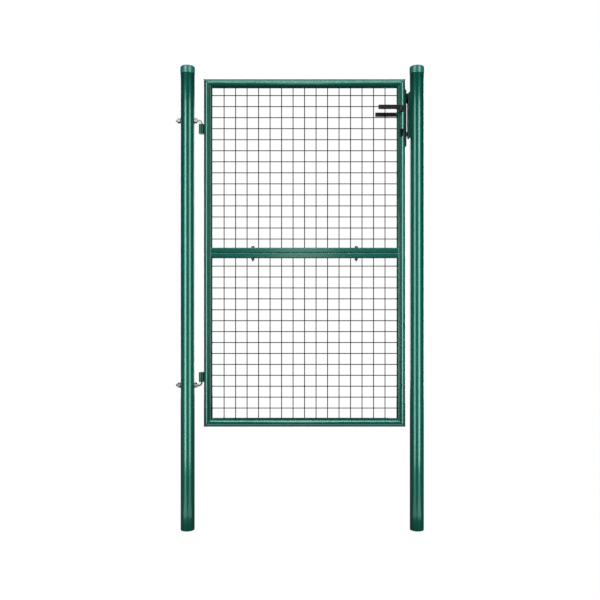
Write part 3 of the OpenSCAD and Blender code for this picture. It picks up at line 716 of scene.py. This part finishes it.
def hinge_rod_surface(rod_z, way):
    """L-bolt: a circle carried along a straight bar, a quarter bend and a leg that goes up or down.

    The bar's two ends of thread have the radius of a screw thread. Elsewhere the rod is plain.
    """
    bar = HINGE_X - HINGE_BEND_R - HINGE_END_X
    bend = HINGE_BEND_R * math.pi / 2
    length = bar + bend + HINGE_LEG
    pitch, depth = 1.75 * MM, 0.85 * MM
    first_ends, second_starts = 21 * MM, 78 * MM
    fine = pitch / 7
    run = np.concatenate([
        [0, 0], np.arange(fine, first_ends, fine), np.arange(second_starts, bar, fine),
        np.linspace(bar, bar + bend, 20), [length - 1.5 * MM, length, length],
    ])
    angle = around(28)
    threaded = ((run < first_ends) | ((run > second_starts) & (run < bar - 1 * MM)))[:, None]
    radius = np.where(threaded, thread_radius(run, angle, HINGE_ROD_R, pitch, depth), HINGE_ROD_R)
    radius = radius - end_taper(run, length, 1.2 * MM)[:, None]
    radius[[0, -1]] = 0
    straight = np.minimum(run, bar)
    turn = np.clip((run - bar) / HINGE_BEND_R, 0, math.pi / 2)
    down = np.maximum(run - bar - bend, 0)
    path = np.stack([
        HINGE_END_X + straight + HINGE_BEND_R * np.sin(turn),
        np.zeros_like(run),
        rod_z + way * (HINGE_BEND_R * (1 - np.cos(turn)) + down),
    ], axis=1)
    tangent = np.stack([np.cos(turn), np.zeros_like(run), way * np.sin(turn)], axis=1)
    points = carried(path, tangent, (0, 1, 0), radius * np.cos(angle), radius * np.sin(angle))
    return sheet_of(points)


def hex_radius(angle, flats):
    """Radius of a hexagon: half its width across flats / cos(angle from the nearest flat's middle)."""
    return flats / 2 / np.cos((angle + math.pi / 6) % (math.pi / 3) - math.pi / 6)


def hex_surface(axis, centre, height, flats, bore, crowned=(True, True)):
    """Nut or bolt head: the smaller of a hexagon and of a 30 degree cone from each crowned face.

    With a bore the piece is a ring, else it closes on its axis.
    """
    angle = around(72)
    depth = np.array([0, 0.25, 0.5, 0.8, 1.2]) * MM
    distance = np.concatenate([depth, height - depth[::-1]])
    face = 0.475 * flats
    slope = 1 / math.tan(math.radians(30))
    from_first = distance if crowned[0] else np.full_like(distance, height)
    from_last = height - distance if crowned[1] else np.full_like(distance, height)
    cone = face + slope * np.minimum(from_first, from_last)
    radius = np.minimum(hex_radius(angle, flats)[None], cone[:, None])
    end = np.full((1, 72), bore)
    radius = np.concatenate([end, radius, end])
    distance = np.concatenate([[0], distance, [height]])
    return turned((radius, distance), centre, axis, sides=72, closed=bore > 0)


def washer_surface(axis, centre, thickness, outer_r, bore):
    """Flat washer: a ring profile with eased edges."""
    corners = [(outer_r, 0), (outer_r, thickness), (bore, thickness), (bore, 0)]
    return turned(rounded(corners, 0.35 * MM, steps=3).T, centre, axis, sides=72)


def sleeve_surface(node):
    """Hinge sleeve: a thick ring profile with eased ends, turned about the hinge's axis."""
    foot, top = low(node, "z"), high(node, "z")
    outer, bore = 11 * MM, HINGE_ROD_R + 0.05 * MM
    corners = [(outer, foot), (outer, top), (bore, top), (bore, foot)]
    radii = np.array([1.0, 1.0, 0.3, 0.3]) * MM
    return turned(rounded(corners, radii).T, (HINGE_X, 0, 0), "z", sides=72)


def sleeve_bead(node, side):
    """Weld down the valley between a sleeve and its stile: a straight line on one side."""
    inset, x, y = 2 * MM, LEAF_LEFT - 0.6 * MM, side * 3.6 * MM
    z = np.linspace(low(node, "z") + inset, high(node, "z") - inset, 120)
    path = np.stack([np.full_like(z, x), np.full_like(z, y), z], axis=1)
    return weld_bead(path, (1, 0, 0), 2.2 * MM, closed=False)


WASHER_T = 2.5 * MM
WASHER_R = 12 * MM
NUT_H = 10 * MM
NUT_FLATS = 19 * MM
for rod_name, rod_z in HINGE_RODS_Z.items():
    way = -1 if rod_name.startswith("upper") else 1
    make_piece(f"{rod_name}_rod", [hinge_rod_surface(rod_z, way)], "posts", "zinc", (rod_name,))
make_piece(
    "hinge_washer_set",
    [
        washer_surface("x", (x, 0, z), WASHER_T, WASHER_R, HINGE_ROD_R + 0.1 * MM)
        for z in HINGE_RODS_Z.values() for x in (-POST_R - WASHER_T, POST_R)
    ],
    "posts", "zinc", ("hinge_washers",),
)
make_piece(
    "hinge_nut_set",
    [
        hex_surface("x", (x, 0, z), NUT_H, NUT_FLATS, HINGE_ROD_R - 0.2 * MM)
        for z in HINGE_RODS_Z.values() for x in (-POST_R - WASHER_T - NUT_H, POST_R + WASHER_T)
    ],
    "posts", "zinc", ("hinge_nuts",),
)
for sleeve_name in ("upper_hinge_sleeve", "lower_hinge_sleeve"):
    make_piece(f"{sleeve_name}_tube", [sleeve_surface(sleeve_name)], "leaf", "green_coat", (sleeve_name,))
make_piece(
    "sleeve_welds",
    [sleeve_bead(node, side) for node in ("upper_hinge_sleeve", "lower_hinge_sleeve") for side in (-1, 1)],
    "leaf", "green_coat",
)


# ---------------------------------------------------------------- bolts that join the two halves

JOINING_R = 4 * MM
JOINING_WASHER_R = 8.5 * MM
JOINING_WASHER_T = 1.6 * MM
JOINING_FLATS = 13 * MM
JOINING_X = (
    low("joining_washers", "x") + JOINING_WASHER_R,
    high("joining_washers", "x") - JOINING_WASHER_R,
)
HEAD_H = 5.3 * MM
JOINING_NUT_H = high("joining_nuts", "z") - low("joining_nuts", "z")


def joining_rod_surface(x):
    """Shank of a joining bolt: a thread that ends in a chamfer below the nut, and a plain top in the head."""
    z_start, z_end = low("joining_bolts", "z"), high("joining_bolts", "z") - 4 * MM
    length = z_end - z_start
    pitch, depth, thread_ends = 1.25 * MM, 0.65 * MM, 20 * MM
    fine = pitch / 7
    run = np.concatenate([[0, 0], np.arange(fine, thread_ends, fine), [thread_ends + 1 * MM, length, length]])
    angle = around(24)
    thread = thread_radius(run, angle, JOINING_R, pitch, depth)
    radius = np.where((run < thread_ends)[:, None], thread, JOINING_R)
    radius = radius - end_taper(run, length, 0.9 * MM)[:, None]
    radius[[0, -1]] = 0
    return turned((radius, run), (x, 0, z_start), "z", sides=24, closed=False)


def joining_head_surface(x):
    """Hexagon head, crowned on top and flat underneath."""
    foot = high("joining_bolts", "z") - HEAD_H
    return hex_surface("z", (x, 0, foot), HEAD_H, JOINING_FLATS, 0, crowned=(False, True))


make_piece(
    "joining_bolt_set",
    [joining_rod_surface(x) for x in JOINING_X] + [joining_head_surface(x) for x in JOINING_X],
    "leaf", "zinc", ("joining_bolts",),
)
make_piece(
    "joining_washer_set",
    [
        washer_surface("z", (x, 0, z), JOINING_WASHER_T, JOINING_WASHER_R, JOINING_R + 0.2 * MM)
        for x in JOINING_X
        for z in (high("upper_mid_rail", "z"), low("joining_washers", "z"))
    ],
    "leaf", "zinc", ("joining_washers",),
)
make_piece(
    "joining_nut_set",
    [
        hex_surface("z", (x, 0, low("joining_nuts", "z")), JOINING_NUT_H, JOINING_FLATS, JOINING_R - 0.1 * MM)
        for x in JOINING_X
    ],
    "leaf", "zinc", ("joining_nuts",),
)


# ---------------------------------------------------------------- lock

def collar_surface(node, side):
    """Collar on the stile, with a round rim and a base that follows the tube.

    Base = sqrt(r^2 - x^2) from the tube's axis, at a distance x to the side of it.
    """
    outer, bore = 11.5 * MM, 8.05 * MM
    top = high(node, "y") if side > 0 else -low(node, "y")
    lean = np.linspace(0, math.pi / 2, 7)
    rim = 2 * MM
    radius = np.concatenate([[outer], outer - rim + rim * np.cos(lean), [bore + 0.4 * MM, bore, bore]])
    reach = np.concatenate([[0], top - rim + rim * np.sin(lean), [top, top - 0.4 * MM, 0]])
    across = radius[:, None] * np.sin(around(96))[None]
    base = np.sqrt((FRAME_R + 0.1 * MM) ** 2 - across**2)
    distance = np.maximum(reach[:, None], base)
    return turned((radius, side * distance), (LATCH_STILE_X, 0, SPINDLE_Z), "y", sides=96)


def lever_surface(side):
    """Lever: a section carried out of the collar, round a bend and along to the tip.

    The section is a superellipse |s/a|^n + |u/b|^n = 1 that goes from a round neck (n = 2) to a
    flattened grip (n = 5), and shrinks along a quarter circle at the tip.
    """
    bend_r = 15 * MM
    neck = LEVER_Y - bend_r - FRAME_R - 0.5 * MM
    bend = bend_r * math.pi / 2
    grip = LATCH_STILE_X - bend_r - LEVER_TIP_X
    length = neck + bend + grip
    tip_r = 3 * MM
    tip = tip_r * np.sin(np.linspace(0, math.pi / 2, 7))
    run = np.concatenate([
        [0, 0], np.linspace(2 * MM, neck, 6), neck + np.linspace(0, bend, 26)[1:],
        np.linspace(neck + bend, length - tip_r, 12)[1:-1], length - tip_r + tip, [length],
    ])
    turn = np.clip((run - neck) / bend_r, 0, math.pi / 2)
    path = np.stack([
        LATCH_STILE_X - bend_r * (1 - np.cos(turn)) - np.maximum(run - neck - bend, 0),
        side * (FRAME_R + 0.5 * MM + np.minimum(run, neck) + bend_r * np.sin(turn)),
        np.full_like(run, SPINDLE_Z),
    ], axis=1)
    tangent = np.stack([-np.sin(turn), side * np.cos(turn), np.zeros_like(run)], axis=1)
    t = np.clip((run - neck * 0.5) / (bend * 0.5 + neck * 0.5), 0, 1)
    blend = (t * t * (3 - 2 * t))[:, None]
    shrink = tip_r - np.sqrt(np.clip(tip_r**2 - np.clip(run - length + tip_r, 0, tip_r) ** 2, 0, None))
    deep = 8 * MM + (5.5 - 8) * MM * blend - shrink[:, None]
    tall = 8 * MM + (9 - 8) * MM * blend - shrink[:, None]
    power = 2 / (2 + 3 * blend)
    angle = around(48)[None]
    section_side = deep * np.sign(np.cos(angle)) * np.abs(np.cos(angle)) ** power
    section_up = tall * np.sign(np.sin(angle)) * np.abs(np.sin(angle)) ** power
    section_side[[0, -1]] = 0
    section_up[[0, -1]] = 0
    return sheet_of(carried(path, tangent, (0, 0, 1), section_side, section_up))


for node, side in (("front_collar", -1), ("rear_collar", 1)):
    make_piece(f"{node}_ring", [collar_surface(node, side)], "leaf", "black_plastic", (node,))
for node, side in (("front_lever", -1), ("rear_lever", 1)):
    make_piece(f"{node}_handle", [lever_surface(side)], "levers", "black_plastic", (node,), sharp_angle=40)

for name, node, body, finish_name, edge in (
    ("latch_stile_with_lock_holes", "upper_latch_stile", "leaf", "green_coat", 0.15 * MM),
    ("keeper_pressing", "keeper", "posts", "green_coat", 0.8 * MM),
    ("keeper_pad_pair", "keeper_pads", "posts", "black_plastic", 0.6 * MM),
    ("forend_strip", "forend_plate", "leaf", "black_coat", 0.3 * MM),
    ("forend_packing", "forend_packer", "leaf", "black_plastic", 0.4 * MM),
    ("latch_tongue", "latch_bolt", "latch", "bolt_steel", 0.3 * MM),
    ("dead_bolt_bar", "dead_bolt", "bolt", "bolt_steel", 0.4 * MM),
    # The cylinder's near-black plating colour is painted shade, for the dark reflections in its face.
    ("cylinder_case", "cylinder_body", "leaf", "nickel", 0.25 * MM),
    ("cylinder_plug_pair", "cylinder_plugs", "plug", "nickel", 0.2 * MM),
):
    eased_copy(name, node, body, finish_name, edge)


# ---------------------------------------------------------------- floor, lights and camera

def stage_surface():
    """Flat floor: a pale sheet that glows white where it is looked at and gives the object little light."""
    f = Finish("pale_studio_floor")
    drift = f.noise(1.5, detail=2)
    looked_at = f.node("ShaderNodeLightPath", output="Is Camera Ray")
    f.surface(
        Base_Color=f.blend(drift, (0.90, 0.90, 0.90), (0.93, 0.93, 0.93)),
        Roughness=0.9,
        Emission_Color=f.blend(looked_at, (0.05, 0.05, 0.05), (1, 1, 1)),
        Emission_Strength=1.0,
    )
    mesh = bpy.data.meshes.new("studio_floor")
    mesh.from_pydata([(-20, -20, 0), (20, -20, 0), (20, 20, 0), (-20, 20, 0)], [], [(0, 1, 2, 3)])
    floor = bpy.data.objects.new("studio_floor", mesh)
    bpy.context.scene.collection.objects.link(floor)
    mesh.materials.append(f.material)


def softbox(name, place, target, width, height, glow, pieces):
    """Rectangular lamp of an even glow, aimed at a point. It lights the given pieces only."""
    lamp = bpy.data.lights.new(name, "AREA")
    lamp.shape = "RECTANGLE"
    lamp.size = width
    lamp.size_y = height
    lamp.energy = math.pi * width * height * glow
    box = bpy.data.objects.new(name, lamp)
    place, target = np.asarray(place, float), np.asarray(target, float)
    away = (place - target) / np.linalg.norm(place - target)
    side = np.cross((0, 0, 1), away)
    side /= np.linalg.norm(side)
    up = np.cross(away, side)
    turn = np.eye(4)
    turn[:3, 0], turn[:3, 1], turn[:3, 2], turn[:3, 3] = side, up, away, place
    box.matrix_world = Matrix(turn)
    bpy.context.scene.collection.objects.link(box)
    box.visible_camera = False
    group = bpy.data.collections.new(f"lit_by_{name}")
    for piece in pieces:
        group.objects.link(piece)
    box.light_linking.receiver_collection = group


def backdrop():
    """White where it is looked at, and nearly black to all else, as a lit backdrop behind flags is."""
    world = bpy.data.worlds.new("studio")
    bpy.context.scene.world = world
    world.use_nodes = True
    tree = world.node_tree
    tree.nodes.clear()
    seen = tree.nodes.new("ShaderNodeLightPath")
    backgrounds = []
    for strength in (0.005, 1.0):
        background = tree.nodes.new("ShaderNodeBackground")
        background.inputs["Color"].default_value = (1, 1, 1, 1)
        background.inputs["Strength"].default_value = strength
        backgrounds.append(background)
    mix = tree.nodes.new("ShaderNodeMixShader")
    out = tree.nodes.new("ShaderNodeOutputWorld")
    tree.links.new(seen.outputs["Is Camera Ray"], mix.inputs[0])
    for place, background in enumerate(backgrounds, start=1):
        tree.links.new(background.outputs[0], mix.inputs[place])
    tree.links.new(mix.outputs[0], out.inputs[0])


def chosen(pieces, *words, without=()):
    """The pieces whose name holds one of the words, if any are given, and none of those to leave out."""
    return [
        piece for piece in pieces
        if (not words or any(word in piece.name for word in words))
        and not any(word in piece.name for word in without)
    ]


def lit_pieces():
    """The groups of pieces that have lamps of their own. A piece can be in several."""
    pieces = [
        piece for piece in bpy.context.scene.objects
        if piece.type == "MESH" and piece.name != "studio_floor"
    ]
    posts = [piece for piece in pieces if piece.get("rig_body") == "posts" and "post" in piece.name]
    others = [piece for piece in pieces if piece not in posts]
    lit = {
        "hinge_post": chosen(posts, "hinge", without=["cap"]),
        "latch_post": chosen(posts, "latch", without=["cap"]),
        "hinge_cap": chosen(chosen(posts, "hinge"), "cap"),
        "latch_cap": chosen(chosen(posts, "latch"), "cap"),
        "between": chosen(others, without=["stile", "wires", "joining"]),
        "above_bottom_rail": chosen(others, without=["bottom_rail"]),
        "hinge_steel": chosen(others, "hinge_nut", "hinge_washer", "bolt_rod"),
        "all_but_posts": others,
        "all_but_posts_and_wires": chosen(others, without=["wires"]),
        "all_but_wires": chosen(pieces, without=["wires"]),
    }
    for word in ("hinge_stile", "latch_stile", "top_rail", "mid_rail", "bottom_rail"):
        lit[word] = chosen(others, word)
    return lit


def at_azimuth(x, reach, degrees, z):
    """Point at a reach from x, turned by an angle from straight ahead towards the latch side."""
    a = math.radians(degrees)
    return x + reach * math.sin(a), -reach * math.cos(a), z


FOOT_STRIP_REACH = 0.42
FOOT_STRIP_Z = 0.05
FOOT_STRIP_AIM_Z = 3.0
FOOT_STRIP_SIZE = (0.17, 0.6)


def place_strips(lit, leaf_x):
    """Tall strips in front, left and right, for each post, cap and stile and for what is between them.

    Each row gives the group, its x, the strips' reach, width, foot and top, and then the angle and
    the glow of the left and of the right strip. Each post also has two faint strips by the floor.
    """
    hinge_x, latch_x = POSTS_X["hinge_post"], POSTS_X["latch_post"]
    strips = (
        ("hinge_post", hinge_x, 0.7, 0.28, 0.03, 2.17, ((-28, 5.8), (45, 4.2))),
        ("latch_post", latch_x, 0.7, 0.28, 0.03, 2.17, ((-42, 4.0), (31, 5.8))),
        ("hinge_cap", hinge_x, 0.7, 0.34, 1.7, 3.2, ((-27, 7.5), (44, 6.0))),
        ("latch_cap", latch_x, 0.7, 0.34, 1.7, 3.2, ((-43, 6.0), (33, 7.5))),
        ("hinge_stile", leaf_x, 2.57, 0.9, 0.02, 2.9, ((-48, 5.0), (54, 2.8))),
        ("latch_stile", leaf_x, 2.57, 0.9, 0.02, 2.9, ((-54, 3.8), (46, 6.2))),
        ("between", leaf_x, 2.57, 0.9, 0.02, 2.9, ((-54, 3.2), (54, 3.2))),
    )
    for name, x, reach, width, foot, top, sides in strips:
        z = (foot + top) / 2
        for word, (azimuth, glow) in zip(("left", "right"), sides):
            place = at_azimuth(x, reach, azimuth, z)
            softbox(f"{name}_{word}_strip", place, (x, 0, z), width, top - foot, glow, lit[name])
            if name in POSTS_X:
                place = at_azimuth(x, FOOT_STRIP_REACH, azimuth, FOOT_STRIP_Z)
                aim = (x, 0, FOOT_STRIP_AIM_Z)
                softbox(f"{name}_{word}_foot_strip", place, aim, *FOOT_STRIP_SIZE, glow / 5, lit[name])


def place_boxes(lit, leaf_x):
    """Two boxes in front of and above each rail, then boxes in front, above, behind and below."""
    for name, z in (("top_rail", LEAF_TOP), ("mid_rail", HALVES_Z), ("bottom_rail", LEAF_FOOT)):
        place = (leaf_x, -2.05, z + 1.43)
        softbox(f"{name}_wide_box", place, (leaf_x, 0, z), 3.0, 0.5, 9.0, lit[name])
        softbox(f"{name}_narrow_box", place, (leaf_x, 0, z), 0.6, 0.5, 11.0, lit[name])
    hinge_x = POSTS_X["hinge_post"]
    back_left, back_right = (at_azimuth(leaf_x, 3.4, azimuth, 1.5) for azimuth in (-155, 155))
    for name, place, target, width, height, glow, group in (
        ("camera_box", (leaf_x, -3.2, 2.15), (leaf_x, 0, 2.15), 0.46, 3.7, 2.0, "all_but_posts_and_wires"),
        ("overhead_box", (leaf_x, 0, 3.8), (leaf_x, 0.01, 1.0), 3.0, 0.8, 3.0, "above_bottom_rail"),
        ("wire_box", (leaf_x, -2.6, 3.0), (leaf_x, 0, 1.2), 2.0, 0.6, 0.3, "all_but_posts"),
        ("hinge_box", (hinge_x, -1.6, 1.6), (hinge_x, 0, 1.2), 1.6, 2.4, 0.8, "hinge_steel"),
        ("back_left_box", back_left, (leaf_x, 0, 1.1), 1.2, 2.9, 3.2, "all_but_wires"),
        ("back_right_box", back_right, (leaf_x, 0, 1.1), 1.2, 2.9, 4.5, "all_but_wires"),
        ("low_box", (leaf_x, -0.25, 0.02), (leaf_x, -0.2, LEAF_FOOT), 2.0, 0.3, 1.2, "bottom_rail"),
    ):
        softbox(name, place, target, width, height, glow, lit[group])


def place_lights():
    """Soft lamps, each for one group of pieces, so that each tube has lines of light of its own."""
    lit = lit_pieces()
    leaf_x = (LEAF_LEFT + LEAF_RIGHT) / 2
    place_strips(lit, leaf_x)
    place_boxes(lit, leaf_x)


def place_camera():
    """Level camera in front of the leaf, a little above mid height."""
    lens = bpy.data.cameras.new("front_camera")
    lens.lens = 42.15
    lens.sensor_width = 36
    camera = bpy.data.objects.new("front_camera", lens)
    camera.location = (0.4853, -3.035, 0.991)
    camera.rotation_euler = (math.pi / 2, 0, 0)
    bpy.context.scene.collection.objects.link(camera)
    bpy.context.scene.camera = camera


bpy.context.scene.view_settings.view_transform = "Standard"
stage_surface()
backdrop()
place_lights()
place_camera()
